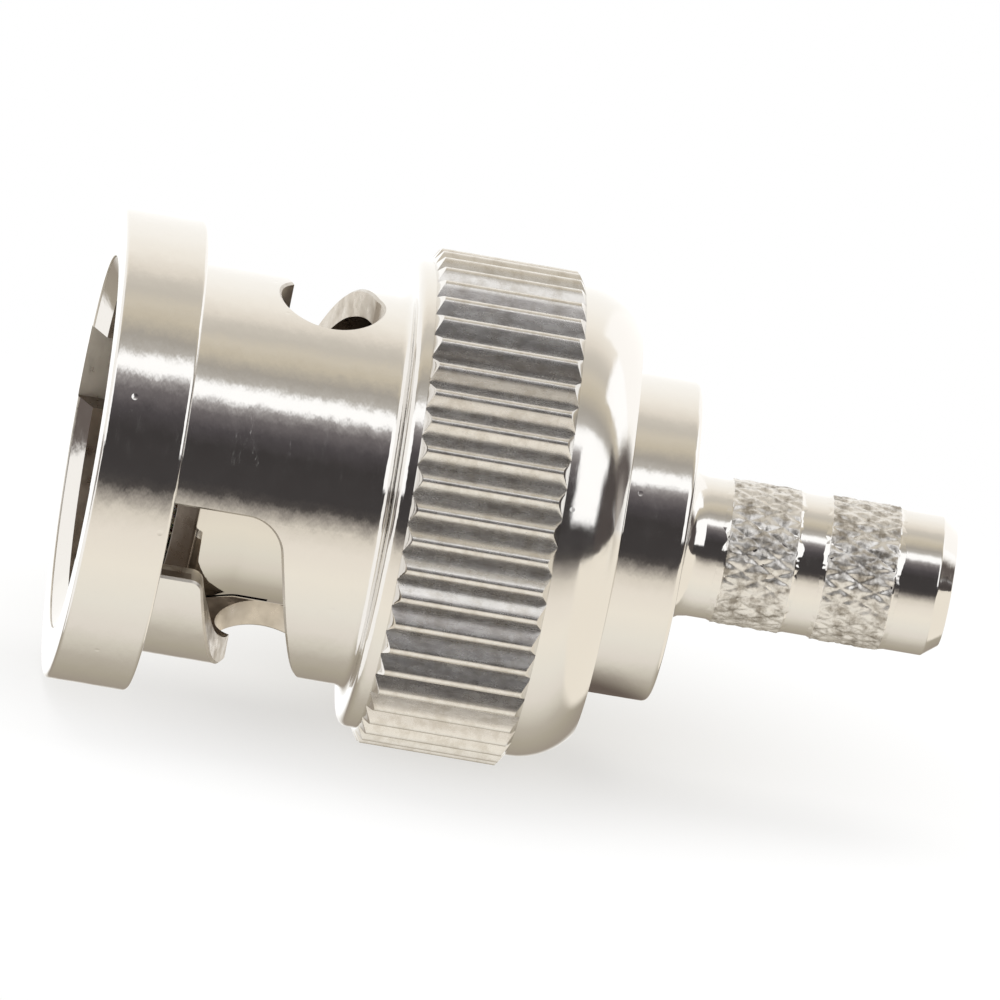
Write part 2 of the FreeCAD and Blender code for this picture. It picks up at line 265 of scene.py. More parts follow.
def rounded(corners):
    """A closed outline of (radius, z) points: a corner (radius, z, edge) is rounded by its edge radius."""
    points = []
    for index, corner in enumerate(corners):
        here = Vector(corner[:2])
        edge = corner[2] if len(corner) == 3 else 0
        if not edge:
            points.append(tuple(here))
            continue
        back = (Vector(corners[index - 1][:2]) - here).normalized()
        ahead = (Vector(corners[(index + 1) % len(corners)][:2]) - here).normalized()
        half = back.angle(ahead) / 2
        reach = edge / math.tan(half)
        centre = here + (back + ahead).normalized() * (edge / math.sin(half))
        start = here + back * reach - centre
        end = here + ahead * reach - centre
        sweep = start.angle_signed(end)
        points.append(tuple(here + back * (reach + HOLD)))
        for step in range(EDGE_STEPS + 1):
            turn = Matrix.Rotation(-sweep * step / EDGE_STEPS, 2)
            points.append(tuple(centre + turn @ start))
        points.append(tuple(here + ahead * (reach + HOLD)))
    return points


def arc(centre, radius, start, end, steps):
    """Points of an arc in the (radius, z) plane, angles in radians."""
    points = []
    for step in range(steps + 1):
        turn = start + (end - start) * step / steps
        points.append((centre[0] + radius * math.cos(turn), centre[1] + radius * math.sin(turn)))
    return points


def lathe(name, rows, turns):
    """Turn a closed outline about the axis.

    A row is a (radius, z) pair, or a list with one such pair for each turn.
    """
    count = len(turns)
    vertices = []
    for row in rows:
        for column, turn in enumerate(turns):
            radius, z = row[column] if isinstance(row, list) else row
            vertices.append(polar(radius, turn, z))
    faces = []
    for row in range(len(rows)):
        ahead = (row + 1) % len(rows)
        for column in range(count):
            beside = (column + 1) % count
            faces.append((
                row * count + column,
                row * count + beside,
                ahead * count + beside,
                ahead * count + column,
            ))
    return mesh_object(name, vertices, faces)


def even_turns(count):
    return [math.tau * index / count for index in range(count)]


def carve(piece, cutters):
    """Cut closed meshes out of a piece, and keep the result as the piece's own mesh."""
    for cutter in cutters:
        modifier = piece.modifiers.new("cut", "BOOLEAN")
        modifier.operation = "DIFFERENCE"
        modifier.solver = "MANIFOLD"
        modifier.object = cutter
    graph = bpy.context.evaluated_depsgraph_get()
    mesh = bpy.data.meshes.new_from_object(piece.evaluated_get(graph))
    piece.modifiers.clear()
    piece.data = mesh
    for cutter in cutters:
        bpy.data.objects.remove(cutter)
    mesh.shade_smooth()
    mesh.set_sharp_from_angle(angle=SHARP_ANGLE)
    if len(mesh.polygons) == 0:
        raise RuntimeError(f"{piece.name} was cut away")


def closed_cutter(name, work):
    """An object with a closed mesh whose faces all point outwards."""
    if work.calc_volume(signed=True) < 0:
        bmesh.ops.reverse_faces(work, faces=work.faces)
    mesh = bpy.data.meshes.new(name)
    work.to_mesh(mesh)
    work.free()
    return new_object(name, mesh)


def ringed_solid(rings):
    """A closed mesh through rings that have the same number of points, with a face over each end."""
    work = bmesh.new()
    loops = [[work.verts.new(point) for point in ring] for ring in rings]
    count = len(loops[0])
    for low, high in zip(loops, loops[1:]):
        for index in range(count):
            beside = (index + 1) % count
            work.faces.new((low[index], low[beside], high[beside], high[index]))
    work.faces.new(list(reversed(loops[0])))
    work.faces.new(loops[-1])
    return work


# Materials

def add_node(tree, kind, settings=()):
    """Add a node: settings maps a property or socket to its value, or to the socket that feeds it."""
    node = tree.nodes.new(kind)
    for key, value in dict(settings).items():
        if isinstance(value, bpy.types.NodeSocket):
            tree.links.new(value, node.inputs[key])
        elif isinstance(key, str) and hasattr(node, key):
            setattr(node, key, value)
        else:
            node.inputs[key].default_value = value
    return node


def reckon(tree, operation, *values):
    """What a math node makes of its values, which are numbers or sockets."""
    return add_node(tree, "ShaderNodeMath", {"operation": operation, **dict(enumerate(values))}).outputs[0]


def mixed(tree, share, first, second):
    """The first colour where the share is 0 and the second where it is 1."""
    settings = {"data_type": "RGBA", 0: share, 6: first, 7: second}
    return add_node(tree, "ShaderNodeMix", settings).outputs[2]


def mixed_shader(tree, share, first, second):
    """The first shader where the share is 0 and the second where it is 1."""
    return add_node(tree, "ShaderNodeMixShader", {0: share, 1: first, 2: second}).outputs[0]


def drawn_out(tree, spot, scale):
    """Coordinates in which a pattern is longer along the axes whose scale is below 1."""
    return add_node(tree, "ShaderNodeMapping", {"Scale": scale, "Vector": spot}).outputs["Vector"]


def noise_map(tree, spot, pitch, detail=2.0, roughness=0.5):
    """Noise from 0 to 1 with lumps of that pitch."""
    settings = {"Scale": 1 / pitch, "Detail": detail, "Roughness": roughness, "Vector": spot}
    return add_node(tree, "ShaderNodeTexNoise", settings).outputs["Fac"]


def remapped(tree, value, low, high, start=0.0, end=1.0, course="LINEAR"):
    """A value that runs from low to high, made to run from start to end."""
    settings = {"From Min": low, "From Max": high, "To Min": start, "To Max": end}
    settings |= {"interpolation_type": course, "Value": value}
    return add_node(tree, "ShaderNodeMapRange", settings).outputs["Result"]


def bumped(tree, height, strength, depth, under=None):
    """The normal of a surface that follows the height, on top of the normal under it."""
    settings = {"Strength": strength, "Distance": depth, "Height": height}
    if under:
        settings["Normal"] = under
    return add_node(tree, "ShaderNodeBump", settings).outputs["Normal"]


def new_material(name, base, metallic, roughness):
    """A plain material: itself, its node tree, its shader's inputs and the piece's own coordinates."""
    material = bpy.data.materials.new(name)
    material.use_nodes = True
    tree = material.node_tree
    inputs = tree.nodes["Principled BSDF"].inputs
    inputs["Base Color"].default_value = (*base, 1)
    inputs["Metallic"].default_value = metallic
    inputs["Roughness"].default_value = roughness
    return material, tree, inputs, add_node(tree, "ShaderNodeTexCoord").outputs["Object"]


def nickel_plate(name, base, roughness, waviness):
    """Bright nickel plate over turned brass: a mirror that swims a little, with a few fine pits.

    The eye sees clear dark and light bands along the plug, whose edges are ragged and flecked. The polish
    changes about every 0.5 mm. The surface swells every 0.9 mm and has a finer peel of 0.34 mm, both drawn
    out round the plug. A pit stands about every 1.9 mm.
    """
    material, tree, inputs, spot = new_material(name, base, 1.0, roughness)
    grain = noise_map(tree, spot, 0.5 * MM, 3.0, 0.6)
    polish = remapped(tree, grain, 0.3, 0.7, roughness * 0.7, roughness * 1.6)
    tree.links.new(polish, inputs["Roughness"])
    lathe_marks = drawn_out(tree, spot, (0.4, 0.4, 1.0))
    swell = bumped(tree, noise_map(tree, lathe_marks, 0.9 * MM), waviness, 0.05 * MM)
    peel = bumped(tree, noise_map(tree, lathe_marks, 0.34 * MM, 3.0, 0.55), waviness, 0.016 * MM, swell)
    pits = add_node(tree, "ShaderNodeTexVoronoi", {"Scale": 1 / (1.9 * MM), "Vector": spot})
    dip = remapped(tree, pits.outputs["Distance"], 0.015, 0.06)
    tree.links.new(bumped(tree, dip, waviness, 0.02 * MM, peel), inputs["Normal"])
    return material


def rolled_nickel(name, base, low, high, depth, stain):
    """Nickel plate over rolled flutes and knurls: softer than the turned faces, with faint rolling marks.

    The eye sees a grain of 0.2 mm, drawn out along the axis, and blotches of 0.38 mm where stain has settled.
    """
    material, tree, inputs, spot = new_material(name, base, 1.0, (low + high) / 2)
    marks = noise_map(tree, drawn_out(tree, spot, (1.0, 1.0, 0.35)), 0.2 * MM, 3.0, 0.55)
    tree.links.new(remapped(tree, marks, 0.3, 0.7, low, high), inputs["Roughness"])
    blotches = remapped(tree, noise_map(tree, spot, 0.38 * MM, 3.0, 0.65), 0.44, 0.66)
    tree.links.new(mixed(tree, blotches, (*base, 1), (*stain, 1)), inputs["Base Color"])
    tree.links.new(bumped(tree, marks, 0.5, depth), inputs["Normal"])
    return material


def gold_plate(base):
    """Bright gold plate over turned brass: a warm mirror with a faint haze in clouds of 0.6 mm."""
    material, tree, inputs, spot = new_material("gold_plate_over_turned_brass", base, 1.0, 0.18)
    haze = remapped(tree, noise_map(tree, spot, 0.6 * MM, 3.0), 0.0, 1.0, 0.12, 0.3)
    tree.links.new(haze, inputs["Roughness"])
    return material


def fluoropolymer(base):
    """White fluoropolymer turned from rod: waxy and matt, with light scattered a little way in.

    The wave node repeats 20 / tau times in a unit of its scale, so the turning lines lie 0.08 mm apart.
    """
    material, tree, inputs, spot = new_material("turned_white_fluoropolymer", base, 0.0, 0.5)
    inputs["IOR"].default_value = 1.35
    inputs["Subsurface Weight"].default_value = 0.3
    inputs["Subsurface Scale"].default_value = 0.4 * MM
    settings = {"bands_direction": "Z", "Scale": 1 / (0.25 * MM), "Distortion": 0.6, "Vector": spot}
    rings = add_node(tree, "ShaderNodeTexWave", settings)
    tree.links.new(bumped(tree, rings.outputs["Fac"], 0.15, 0.005 * MM), inputs["Normal"])
    return material


def silicone(base):
    """Moulded silicone rubber: matt with a dry sheen, and a mould grain of 0.08 mm, coarse enough to show."""
    material, tree, inputs, spot = new_material("moulded_red_silicone", base, 0.0, 0.6)
    inputs["IOR"].default_value = 1.41
    inputs["Sheen Weight"].default_value = 0.2
    tree.links.new(bumped(tree, noise_map(tree, spot, 0.08 * MM), 0.2, 0.004 * MM), inputs["Normal"])
    return material


def rolled_strip(name, base):
    """Bright rolled spring strip: semi-bright metal with soft rolling streaks 0.12 mm wide."""
    material, tree, inputs, spot = new_material(name, base, 1.0, 0.28)
    streaks = noise_map(tree, drawn_out(tree, spot, (1.0, 0.1, 1.0)), 0.12 * MM)
    tree.links.new(remapped(tree, streaks, 0.0, 1.0, 0.2, 0.38), inputs["Roughness"])
    return material


def dress(piece, *finishes):
    """Give a piece these materials, in place of any that it has."""
    piece.data.materials.clear()
    for finish in finishes:
        piece.data.materials.append(finish)


# Coupling nut

# Half of a flute from valley to crest, in shares of the pitch: its mesh columns, and where its flank would
# reach the top if it stayed straight. Then the share of the height at which the crest starts to round, and
# how slowly it does.
HALF_FLUTE = (0.05, 0.16, 0.28, 0.36, 0.41, 0.455, 0.5)
FLANK_END = 0.42
CREST_START = 0.76
CREST_TURN = 0.43

# Mesh steps across the groove, round the slot's front end, lock hole and inner corner, and over the dome
GROOVE_STEPS = 12
SLOT_END_STEPS = 14
LOCK_STEPS = 40
CORNER_STEPS = 8
DOME_STEPS = 28

# How many strips a slot's cutter is cut into over one width of the slot, before it is rolled up
STRIPS = 8

# The share of the ramp at each end over which the slot's walls turn from flat to radial
WALL_TURN = 0.3

# Which way a face of the nut looks, as the share of its normal that points away from the axis: inwards below
# the first, outwards above the second, and a side wall where the share is smaller than the third either way.
INWARD = -0.7
OUTWARD = 0.93
SIDEWAYS = 0.3

# A face in a slot that looks outwards by more than the first is the chamfer on the slot's edge. A face of the
# grip whose normal lies along the axis by more than the second is one of the grip's ends.
CHAMFER_LOOK = 0.5
GRIP_END_LOOK = 0.4


def flute_columns(nut):
    """Turn and radius of each column: one V groove with a softly rounded crest, repeated round the grip."""
    crest = nut.grip_diameter / 2
    valley = crest - nut.flute_depth
    shares = [0.0, *HALF_FLUTE] + [1 - share for share in reversed(HALF_FLUTE[:-1])]
    pitch = math.tau / nut.flute_count
    turns = []
    radii = []
    for index in range(nut.flute_count):
        for share in shares:
            rise = min(share, 1 - share) / FLANK_END
            over = max(0.0, rise - CREST_START)
            soft = 1 - max(0.0, 1 - over / CREST_TURN) ** 2
            height = min(rise, CREST_START) + (1 - CREST_START) * soft
            turns.append(nut.flute_phase + pitch * (index + share))
            radii.append(valley + (crest - valley) * min(height, 1.0))
    return turns, radii


def grip_rows(nut, radii):
    """The grip's two ends and the two lines where its flutes meet the end tapers."""
    end_radius = nut.grip_end_diameter / 2
    slope = nut.grip_taper / (nut.grip_diameter / 2 - end_radius)
    start = nut.grip_start
    end = start + nut.grip_length
    tapers = [max(0.0, radius - end_radius) * slope for radius in radii]
    low = [(radius, start + taper) for radius, taper in zip(radii, tapers)]
    high = [(radius, end - taper) for radius, taper in zip(radii, tapers)]
    lead = [(min(radius, end_radius), start) for radius in radii]
    trail = [(min(radius, end_radius), end) for radius in radii]
    return [lead, low, high, trail]


def nut_shell(nut):
    """The whole nut as one turned and fluted mesh, before its slots.

    The last corner of the front and the last two of the rear only give their neighbours a direction.
    """
    turns, radii = flute_columns(nut)
    edge = nut.edge_round
    flange = nut.flange_diameter / 2
    neck = nut.neck_diameter / 2
    collar = nut.collar_diameter / 2
    dome = nut.dome_diameter / 2
    end = nut.grip_start + nut.grip_length
    front = rounded([
        (nut.mouth_diameter / 2, 0, edge / 3),
        (flange, 0, edge),
        (flange, nut.flange_length, edge),
        (neck, nut.flange_length),
        (neck, nut.neck_end, nut.neck_root),
        (collar, nut.neck_end, nut.collar_round),
        (collar, nut.grip_start),
        (nut.bore_diameter / 2, nut.grip_start),
    ])[:-1]
    dome_start = end + nut.dome_lead
    reach = math.asin((nut.nut_length - dome_start) / nut.dome_radius)
    curve = arc((dome - nut.dome_radius, dome_start), nut.dome_radius, 0, reach, DOME_STEPS)
    rear = rounded([
        (nut.rear_bore / 2, nut.nut_length, edge / 2),
        (nut.rear_bore / 2, nut.nut_length - nut.wall),
        (nut.bore_diameter / 2, nut.nut_length - nut.wall),
        (nut.bore_diameter / 2, nut.mouth_depth),
        (nut.mouth_diameter / 2, 0),
        (nut.rear_bore / 2 + nut.wall, nut.nut_length),
    ])[:-2]
    rows = front + grip_rows(nut, radii)
    rows += [(dome, end), (dome, dome_start - HOLD)] + curve + [(curve[-1][0] - HOLD, nut.nut_length)]
    return lathe("coupling_nut_shell", rows + rear, turns)


def slot_outline(nut, slot, grow):
    """One slot's outline on the unrolled neck, as (sideways, height) points, grown outwards by grow."""
    run = nut.neck_diameter / 2 * slot.turn
    lead = math.atan2(slot.rise, run)
    along = Vector((math.cos(lead), math.sin(lead)))
    across = Vector((-math.sin(lead), math.cos(lead)))
    half = slot.width / 2 + grow
    entry = Vector((0, slot.entry_end))
    hole = Vector((run, slot.entry_end + slot.rise - slot.lock_back))
    hole_radius = slot.lock_diameter / 2 + grow

    def meets_hole(side):
        """Where one wall of the ramp runs into the lock hole."""
        start = entry + across * half * side
        gap = start - hole
        depth = (gap.dot(along)) ** 2 - gap.length_squared + hole_radius ** 2
        return start + along * (-gap.dot(along) - math.sqrt(depth))

    points = [(-half, nut.flange_length + CLEAR)]
    points += arc(entry, half, math.pi, math.pi / 2 + lead, SLOT_END_STEPS)
    high_end = meets_hole(1)
    low_end = meets_hole(-1)
    begin = math.atan2(high_end.y - hole.y, high_end.x - hole.x)
    finish = math.atan2(low_end.y - hole.y, low_end.x - hole.x)
    sweep = (finish - begin) % math.tau - math.tau
    points += arc(hole, hole_radius, begin, begin + sweep, LOCK_STEPS)
    fillet = slot.corner_round - grow
    low_start = entry - across * half
    centre_x = half + fillet
    centre_y = low_start.y + (-fillet - (centre_x - low_start.x) * across.x) / across.y
    points += arc((centre_x, centre_y), fillet, math.pi / 2 + lead, math.pi, CORNER_STEPS)
    points.append((half, nut.flange_length + CLEAR))
    return points


def wrapped(nut, slot, radius, sideways):
    """The turn round the axis: walls are flat at the entry and the lock hole, and radial between them."""
    around = nut.neck_diameter / 2
    run = around * slot.turn
    radial = sideways / around
    share = (sideways - slot.width / 2) / (run - slot.width / 2 - slot.lock_diameter / 2)
    near = max(-1.0, min(1.0, sideways / radius))
    far = max(-1.0, min(1.0, (sideways - run) / radius))
    if share < WALL_TURN:
        flat = math.asin(near)
        return flat + (radial - flat) * max(share, 0) / WALL_TURN
    if share > 1 - WALL_TURN:
        flat = slot.turn + math.asin(far)
        return radial + (flat - radial) * min(share - 1 + WALL_TURN, WALL_TURN) / WALL_TURN
    return radial


def slot_window(nut, slot, phase):
    """The cutter of one slot, which widens at the neck's surface to leave a small chamfer.

    It is drawn flat, cut into narrow strips, and then rolled up round the axis, so that its long faces bend.
    """
    neck = nut.neck_diameter / 2
    bore = nut.bore_diameter / 2
    small = slot.edge_break
    # Each level is a radius and how far the outline is grown there, from inside the bore to outside the neck.
    levels = [
        (bore - small * 6, small / 2),
        (bore + small / 2, 0),
        (neck - small, 0),
        (neck + small * 3, small * 4),
    ]
    work = ringed_solid(
        [(x, y, radius) for x, y in slot_outline(nut, slot, grow)] for radius, grow in levels
    )
    strip = slot.width / STRIPS
    for cut in range(-STRIPS // 2, round((neck * slot.turn + slot.lock_diameter) / strip)):
        parts = work.verts[:] + work.edges[:] + work.faces[:]
        bmesh.ops.bisect_plane(work, geom=parts, plane_co=(cut * strip, 0, 0), plane_no=(1, 0, 0))
    for vertex in work.verts:
        x, y, radius = vertex.co
        vertex.co = polar(radius, phase + wrapped(nut, slot, radius, x), y)
    return closed_cutter("slot_window", work)


def slot_groove(nut, slot, phase):
    """The cutter of the groove that leads a lug in through the flange, from inside the bore outwards."""
    half = slot.width / 2
    low = nut.bore_diameter / 2 - slot.width / 4
    high = slot.groove_diameter / 2
    ends = []
    for z in (-nut.flange_length, nut.flange_length + half):
        ring = [polar(low, phase - math.asin(half / low), z)]
        for step in range(GROOVE_STEPS + 1):
            side = -half + slot.width * step / GROOVE_STEPS
            ring.append(polar(high, phase + math.asin(side / high), z))
        ring.append(polar(low, phase + math.asin(half / low), z))
        ends.append(ring)
    return closed_cutter("slot_groove", ringed_solid(ends))


def nut_finishes(finish):
    """The nut's materials, in the order that face_finish numbers them."""
    return (
        nickel_plate("bright_nickel_on_turned_brass", finish.nickel, 0.06, 0.6),
        rolled_nickel(
            "bright_nickel_on_rolled_flutes", finish.nickel, 0.22, 0.3, 0.006 * MM, finish.flute_stain
        ),
        nickel_plate("satin_nickel_in_the_grooves", finish.groove_nickel, 0.34, 0.3),
        # The bore's darker nickel is painted shade.
        nickel_plate("dull_nickel_with_painted_shade_in_the_bore", finish.bore_painted_shade_nickel, 0.3, 0.3),
        nickel_plate("smooth_nickel_on_the_dome", finish.nickel, 0.09, 0.22),
        nickel_plate("matt_nickel_on_milled_slot_walls", finish.wall_nickel, 0.32, 0.3),
    )


def face_finish(face, nut, slot):
    """The number of the material that a face of the nut takes, by where it lies and which way it looks."""
    turned, fluted, grooved, bored, domed, milled = range(6)
    centre = face.center
    radius = centre.xy.length
    outward = face.normal.xy.dot(centre.xy.normalized())
    axial = abs(face.normal.z)
    grip_end = nut.grip_start + nut.grip_length
    if nut.grip_start < centre.z < grip_end and radius > nut.grip_diameter / 2 - nut.flute_depth - CLEAR:
        return fluted if axial < GRIP_END_LOOK else turned
    slotted = nut.flange_length < centre.z < nut.neck_end and radius < nut.neck_diameter / 2 - CLEAR
    if slotted and INWARD < outward < OUTWARD:
        return milled if outward < CHAMFER_LOOK else grooved
    # Faces in the bore take the darker nickel, a painted shade of the recess.
    if abs(outward) < SIDEWAYS and axial < SIDEWAYS and radius < slot.groove_diameter / 2 - CLEAR:
        return bored
    if outward < INWARD:
        inside = radius <= nut.bore_diameter / 2 + CLEAR and centre.z >= nut.mouth_depth
        return bored if inside else grooved
    return domed if outward > 0 and centre.z > grip_end else turned


class PLUG_OT_coupling_nut(Operator):
    """Turn, flute and slot the coupling nut"""

    bl_idname = "plug.coupling_nut"
    bl_label = "Coupling nut"

    def execute(self, context):
        plug = context.scene.plug
        nut = plug.nut
        slot = plug.slot
        shell = nut_shell(nut)
        cutters = []
        for index in range(slot.count):
            phase = slot.phase + math.tau * index / slot.count
            cutters.append(slot_groove(nut, slot, phase))
            cutters.append(slot_window(nut, slot, phase))
        carve(shell, cutters)
        dress(shell, *nut_finishes(plug.finish))
        for face in shell.data.polygons:
            face.material_index = face_finish(face, nut, slot)
        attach(shell, "nut")
        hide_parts("coupling_nut")
        return {"FINISHED"}


# Rear body and its knurled bands

# Mesh columns round the turned body, across a diamond and along one, and the rows of a skirt
BODY_COLUMNS = 360
DIAMOND_COLUMNS = 14
DIAMOND_ROWS = 18
SKIRT_ROWS = 6

# How large the plate's unevenness is: at the skirt's edge, in the sway of the rolled lines, and as lumps
SKIRT_GRAIN = 0.5 * MM
SWAY_GRAIN = 0.9 * MM
COARSE_GRAIN = 0.36 * MM
FINE_GRAIN = 0.16 * MM

# How far a band's mesh reaches into the stem
BAND_DEPTH = 0.05 * MM


def rear_body_shell(body):
    """The rear body and crimp stem as one turned mesh."""
    back = body.body_start + body.body_length
    end = back + body.stem_length
    outer = body.body_diameter / 2
    stem = body.stem_diameter / 2
    socket = body.socket_diameter / 2
    bore = body.cable_bore / 2
    floor = back - body.socket_floor
    rows = rounded([
        (socket, body.body_start),
        (outer, body.body_start, body.edge_round / 3),
        (outer, back, body.edge_round),
        (stem, back, body.root_round),
        (stem, end - body.end_chamfer, body.edge_round / 2),
        (body.end_diameter / 2, end, body.edge_round / 4),
        (bore + body.bore_lead / 2, end, body.edge_round / 8),
        (bore, end - body.bore_lead),
        (bore, floor),
        (socket, floor),
    ])
    return lathe("rear_body_shell", rows, even_turns(BODY_COLUMNS))


def groove_wave(value):
    """0 in a groove and 1 midway between grooves, for a value that grows by 1 from groove to groove."""
    return 1 - abs(2 * (value - math.floor(value)) - 1)


def knurled_band(body, index, finishes):
    """A raised band of rolled diamonds, worn and clogged by the plate, which pools at the band's ends."""
    start = body.body_start + body.body_length + body.band_offset + index * body.band_pitch
    crest = body.band_diameter / 2
    stem = body.stem_diameter / 2
    base = stem - BAND_DEPTH
    rows_count = body.knurl_rows * DIAMOND_ROWS
    turns = even_turns(body.knurl_around * DIAMOND_COLUMNS)

    def grain(turn, z, pitch):
        """The plate's unevenness at a place on the band, about -1 to 1, with lumps of that pitch."""
        return noise.fractal(polar(crest, turn, z + index * body.band_pitch) / pitch, 1.0, 2.0, 3)

    def skirt(side):
        """Rows of a concave sweep from the stem up to the band, with an uneven reach."""
        foot = start if side < 0 else start + body.band_length
        rows = []
        for step in range(SKIRT_ROWS + 1):
            share = step / SKIRT_ROWS
            line = []
            for turn in turns:
                # The reach swings with the grain, and is nowhere less than 0.3 of its size.
                reach = body.knurl_skirt * max(0.3, 1 + 0.9 * grain(turn, foot, SKIRT_GRAIN))
                lift = (crest - body.knurl_depth * 0.3 - stem) * share ** 2
                line.append((stem - CLEAR + lift + CLEAR * share, foot + side * reach * (1 - share)))
            rows.append(line)
        return rows

    rows = [[(base, z) for _, z in skirt(-1)[0]]] + skirt(-1)
    for row in range(1, rows_count):
        share = row / rows_count
        z = start + body.band_length * share
        line = []
        for turn in turns:
            around = turn / math.tau * body.knurl_around
            along = share * body.knurl_rows
            sway = 0.12 * grain(turn, z, SWAY_GRAIN)
            diamond = min(groove_wave(around + sway + along / 2), groove_wave(around + sway - along / 2))
            lumps = grain(turn, z, COARSE_GRAIN) + 0.2 * grain(turn, z, FINE_GRAIN)
            # The plate fills 0.4 of the grooves' depth. Flat-topped diamonds add a half, and lumps a third.
            height = 0.5 * min(1.0, diamond * 1.6) + 0.4 + 0.32 * lumps
            line.append((crest - body.knurl_depth * (1 - max(0.0, min(1.0, height))), z))
        rows.append(line)
    rows += reversed(skirt(1))
    rows.append([(base, z) for _, z in rows[-1]])
    band = lathe(f"stem_band_{index + 1}", rows, turns)
    # The lumps are too fine for sharp edges, which would break the plate's gloss.
    for edge in band.data.edges:
        edge.use_edge_sharp = False
    dress(band, *finishes)
    for face in band.data.polygons:
        face.material_index = int(not start < face.center.z < start + body.band_length)
    return band


class PLUG_OT_rear_body(Operator):
    """Turn the rear body with its crimp stem and roll its knurled bands"""

    bl_idname = "plug.rear_body"
    bl_label = "Rear body"

    def execute(self, context):
        plug = context.scene.plug
        body = plug.body
        shell = rear_body_shell(body)
        bright = nickel_plate("bright_nickel_on_stem", plug.finish.nickel, 0.06, 0.5)
        stain = plug.finish.knurl_stain
        rolled = rolled_nickel(
            "grainy_nickel_on_rolled_knurl", plug.finish.nickel, 0.28, 0.46, 0.01 * MM, stain
        )
        dress(shell, bright)
        pieces = [shell]
        for index in range(body.band_count):
            pieces.append(knurled_band(body, index, (rolled, bright)))
        for piece in pieces:
            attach(piece, "plug")
        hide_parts("rear_body")
        return {"FINISHED"}


# Contact sleeve and wave washer

# Mesh columns round the sleeve, and round one wave of the washer
SLEEVE_COLUMNS = 240
WAVE_COLUMNS = 48


def contact_shell(contact):
    """The sleeve, seat flange and neck as one turned mesh, before its saw cuts."""
    seat = contact.seat
    seat_back = seat + contact.seat_thickness
    crest = contact.tip + contact.bump_start
    slope = crest + contact.bump_land
    inner = contact.finger_inner / 2
    outer = contact.finger_outer / 2
    bump = contact.bump_diameter / 2
    small = contact.tip_wall / 3
    rows = rounded([
        (inner, contact.tip, small),
        (inner + contact.tip_wall, contact.tip, small),
        (bump, crest, contact.bump_land),
        (bump, slope, contact.bump_land),
        (outer, slope + contact.bump_taper, contact.bump_taper),
        (outer, seat - contact.root_length),
        (contact.root_diameter / 2, seat - contact.root_length),
        (contact.root_diameter / 2, seat),
        (contact.seat_diameter / 2, seat, small),
        (contact.seat_diameter / 2, seat_back, small),
        (contact.neck_diameter / 2, seat_back),
        (contact.neck_diameter / 2, contact.neck_end, small),
        (inner, contact.neck_end),
    ])
    return lathe("contact_sleeve", rows, even_turns(SLEEVE_COLUMNS))


def saw_cut(contact, turn):
    """The cutter of one cut between two fingers."""
    half = contact.slot_width / 2
    deep = contact.finger_inner / 2 - contact.slot_width
    wide = contact.bump_diameter
    rings = []
    for z in (contact.tip - contact.slot_width, contact.tip + contact.slot_length):
        corners = [(deep, -half), (wide, -half), (wide, half), (deep, half)]
        rings.append([Matrix.Rotation(turn, 3, "Z") @ Vector((x, y, z)) for x, y in corners])
    return closed_cutter("saw_cut", ringed_solid(rings))


class PLUG_OT_contact_sleeve(Operator):
    """Turn the sprung contact sleeve and cut its fingers"""

    bl_idname = "plug.contact_sleeve"
    bl_label = "Contact sleeve"

    def execute(self, context):
        plug = context.scene.plug
        contact = plug.contact
        sleeve = contact_shell(contact)
        cuts = [saw_cut(contact, contact.slot_phase + turn) for turn in even_turns(contact.finger_count)]
        carve(sleeve, cuts)
        finish = plug.finish
        bright = nickel_plate("bright_nickel_on_sprung_brass", finish.contact_nickel, 0.05, 0.12)
        # The tips' darker nickel is painted shade.
        dull = nickel_plate("nickel_with_painted_shade_on_the_finger_tips", finish.tip_painted_shade_nickel, 0.3, 0.3)
        dress(sleeve, bright, dull)
        # The slope ahead of the bump's crest takes the darker nickel, a painted shade.
        crest = contact.tip + contact.bump_start
        for face in sleeve.data.polygons:
            face.material_index = int(face.center.z < crest and face.normal.z < -0.1)
        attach(sleeve, "plug")
        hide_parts("outer_contact")
        return {"FINISHED"}


def wave_ring(washer):
    """The sprung strip that rises and falls round the axis, and pushes the nut back when it is let go."""
    turns = even_turns(washer.wave_count * WAVE_COLUMNS)
    swing = (washer.height - washer.thickness) / 2
    low = [washer.start + swing * (1 + math.cos(washer.wave_count * turn)) for turn in turns]
    high = [z + washer.thickness for z in low]
    inner = washer.inner_diameter / 2
    outer = washer.outer_diameter / 2
    rows = []
    for radius, line in ((inner, low), (outer, low), (outer, high), (inner, high)):
        rows.append([(radius, z) for z in line])
    return lathe("wave_washer_strip", rows, turns)


class PLUG_OT_wave_washer(Operator):
    """Form the wave washer at its free height: the real one flattens as the nut is pulled forward"""

    bl_idname = "plug.wave_washer"
    bl_label = "Wave washer"

    def execute(self, context):
        plug = context.scene.plug
        washer = plug.washer
        strip = wave_ring(washer)
        dress(strip, rolled_strip("bright_strip_of_the_wave_washer", plug.finish.spring))
        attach(strip, "plug")
        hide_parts("wave_washer")
        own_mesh(strip)
        return {"FINISHED"}


class PLUG_OT_inner_parts(Operator):
    """Finish the insulators, centre contact, seal and flat washers"""

    bl_idname = "plug.inner_parts"
    bl_label = "Inner parts"

    def execute(self, context):
        finish = context.scene.plug.finish
        white = fluoropolymer(finish.insulator)
        strip = rolled_strip("rolled_spring_strip", finish.spring)
        finishes = {
            "front_insulator": white,
            "rear_insulator": white,
            "centre_pin": gold_plate(finish.gold),
            "gasket": silicone(finish.seal),
            "front_washer": strip,
            "rear_washer": strip,
        }
        for node, material in finishes.items():
            for material_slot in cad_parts[node].material_slots:
                material_slot.material = material
        return {"FINISHED"}


# Studio: world, floor and camera

